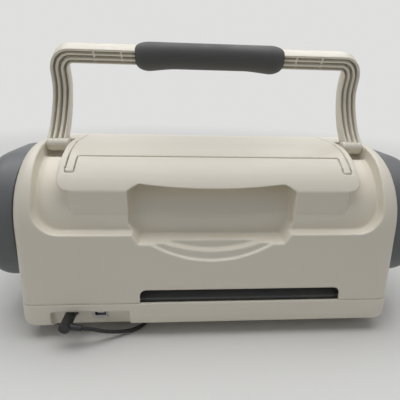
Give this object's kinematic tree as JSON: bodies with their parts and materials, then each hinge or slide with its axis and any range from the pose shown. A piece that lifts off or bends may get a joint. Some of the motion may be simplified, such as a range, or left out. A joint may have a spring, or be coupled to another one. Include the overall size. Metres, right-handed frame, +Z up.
{
  "type": "die cutting machine",
  "caption": "Desktop electronic die cutting machine: D-shaped housing with dark end caps, fold-up carry handle, hinged lid and front door, roller-fed mat slot and moving blade carriage.",
  "frame": {"origin": "on the table, under the middle of the machine without its cord", "axes": "+X along the machine, from the side plate without the console towards the console; +Y to the rear, where the mat leaves; +Z up"},
  "size_m": [0.475, 0.2636, 0.2704],
  "materials": {
    "ivory_plastic": "satin moulded ivory plastic",
    "dark_cap": "dark blue-gray satin plastic",
    "soft_grip": "matt charcoal soft-touch rubber",
    "black_plastic": "black plastic",
    "gray_plastic": "mid gray plastic",
    "rubber": "black rubber",
    "steel": "brushed steel",
    "motor_metal": "painted motor can",
    "board": "green circuit board",
    "white_plastic": "white nylon",
    "window": "dark display window",
    "key_rubber": "gray rubber keys",
    "cut_green": "green button",
    "stop_red": "red button"
  },
  "bodies": {
    "housing": {"base_tray": "ivory_plastic", "carriage_motor": "motor_metal", "carriage_rail": "steel", "cartridge_socket": "black_plastic", "control_console": "gray_plastic", "cord_coil": "rubber", "cord_tail": "rubber", "cord_tie": "rubber", "dc_jack": "black_plastic", "dc_plug": "black_plastic", "display_window": "window", "door_pins": "steel", "drive_belt": "rubber", "end_cap_left": "dark_cap", "end_cap_right": "dark_cap", "feed_motor": "motor_metal", "front_frame_left": "ivory_plastic", "front_frame_right": "ivory_plastic", "guide_shaft": "steel", "handle_pins": "steel", "keypad": "key_rubber", "lid_pins": "steel", "main_board": "board", "mat_deck": "gray_plastic", "power_adapter": "black_plastic", "power_cord": "rubber", "rear_shell": "ivory_plastic", "rubber_feet": "rubber", "side_plate_left": "steel", "side_plate_right": "steel", "usb_socket": "steel"},
    "handle": {"handle_frame": "ivory_plastic", "handle_grip": "soft_grip"},
    "lid": {"top_lid": "ivory_plastic"},
    "door": {"front_door": "ivory_plastic"},
    "carriage": {"carriage": "black_plastic"},
    "blade": {"blade_holder": "gray_plastic", "cutting_blade": "steel"},
    "drive_pulley": {"drive_pulley": "white_plastic"},
    "idler_pulley": {"idler_pulley": "white_plastic"},
    "feed_roller": {"feed_roller": "steel", "roller_gear": "white_plastic"},
    "feed_pinion": {"feed_pinion": "white_plastic"},
    "pinch_roller": {"pinch_roller": "rubber"},
    "size_dial": {"size_dial": "gray_plastic"},
    "pressure_dial": {"pressure_dial": "gray_plastic"},
    "speed_dial": {"speed_dial": "gray_plastic"},
    "load_button": {"load_button": "gray_plastic"},
    "unload_button": {"unload_button": "gray_plastic"},
    "stop_button": {"stop_button": "stop_red"},
    "cut_button": {"cut_button": "cut_green"},
    "power_button": {"power_button": "gray_plastic"},
    "release_button": {"release_button": "gray_plastic"}
  },
  "joints": [
    {"name": "handle_fold", "type": "hinge", "parent": "housing", "child": "handle", "pos_m": [0, 0.023, 0.16983], "axis": [-1, 0, 0], "range_deg": [0, 144.9]},
    {"name": "lid_open", "type": "hinge", "parent": "housing", "child": "lid", "pos_m": [0, 0.0622, 0.15458], "axis": [-1, 0, 0], "range_deg": [0, 100]},
    {"name": "door_open", "type": "hinge", "parent": "housing", "child": "door", "pos_m": [0, -0.09802, 0.046], "axis": [1, 0, 0], "range_deg": [0, 105]},
    {"name": "carriage_slide", "type": "slide", "parent": "housing", "child": "carriage", "axis": [1, 0, 0], "range_m": [-0.06, 0.06]},
    {"name": "blade_drop", "type": "slide", "parent": "carriage", "child": "blade", "axis": [0, 0, -1], "range_m": [0, 0.002], "stiffness_N_per_m": 500, "springref_m": -0.003},
    {"name": "drive_pulley_spin", "type": "hinge", "parent": "housing", "child": "drive_pulley", "pos_m": [0.056, 0.017, 0.112], "axis": [0, 0, 1], "range_deg": [-600, 520]},
    {"name": "idler_pulley_spin", "type": "hinge", "parent": "housing", "child": "idler_pulley", "pos_m": [-0.116, 0.017, 0.112], "axis": [0, 0, 1], "range_deg": [-600, 520]},
    {"name": "feed_roller_spin", "type": "hinge", "parent": "housing", "child": "feed_roller", "pos_m": [0, 0, 0.0325], "axis": [1, 0, 0], "continuous": true},
    {"name": "feed_pinion_spin", "type": "hinge", "parent": "housing", "child": "feed_pinion", "pos_m": [0, 0.017, 0.0325], "axis": [1, 0, 0], "continuous": true},
    {"name": "pinch_roller_spin", "type": "hinge", "parent": "housing", "child": "pinch_roller", "pos_m": [0, 0, 0.045], "axis": [1, 0, 0], "continuous": true},
    {"name": "size_dial_turn", "type": "hinge", "parent": "housing", "child": "size_dial", "pos_m": [0.0968, -0.04307, 0.11997], "axis": [0, -0.8253, 0.5647], "range_deg": [-135, 135]},
    {"name": "pressure_dial_turn", "type": "hinge", "parent": "housing", "child": "pressure_dial", "pos_m": [0.116, -0.04307, 0.11997], "axis": [0, -0.8253, 0.5647], "range_deg": [-135, 135]},
    {"name": "speed_dial_turn", "type": "hinge", "parent": "housing", "child": "speed_dial", "pos_m": [0.1352, -0.04307, 0.11997], "axis": [0, -0.8253, 0.5647], "range_deg": [-135, 135]},
    {"name": "load_button_press", "type": "slide", "parent": "housing", "child": "load_button", "axis": [0, 0.8253, -0.5647], "range_m": [0, 0.0012], "stiffness_N_per_m": 300, "springref_m": -0.001},
    {"name": "unload_button_press", "type": "slide", "parent": "housing", "child": "unload_button", "axis": [0, 0.8253, -0.5647], "range_m": [0, 0.0012], "stiffness_N_per_m": 300, "springref_m": -0.001},
    {"name": "stop_button_press", "type": "slide", "parent": "housing", "child": "stop_button", "axis": [0, 0.8253, -0.5647], "range_m": [0, 0.0012], "stiffness_N_per_m": 300, "springref_m": -0.001},
    {"name": "cut_button_press", "type": "slide", "parent": "housing", "child": "cut_button", "axis": [0, 0.8253, -0.5647], "range_m": [0, 0.0012], "stiffness_N_per_m": 300, "springref_m": -0.001},
    {"name": "power_button_press", "type": "slide", "parent": "housing", "child": "power_button", "axis": [0, 0.8253, -0.5647], "range_m": [0, 0.0012], "stiffness_N_per_m": 300, "springref_m": -0.001},
    {"name": "release_press", "type": "slide", "parent": "housing", "child": "release_button", "axis": [0, 0.7071, -0.7071], "range_m": [0, 0.0015], "stiffness_N_per_m": 300, "springref_m": -0.001}
  ],
  "couplings": [
    {"joint": "drive_pulley_spin", "follows": "carriage_slide", "rad_per_m": 142.86},
    {"joint": "idler_pulley_spin", "follows": "carriage_slide", "rad_per_m": 142.86},
    {"joint": "feed_pinion_spin", "follows": "feed_roller_spin", "ratio": -2.4},
    {"joint": "pinch_roller_spin", "follows": "feed_roller_spin", "ratio": -1.2}
  ]
}
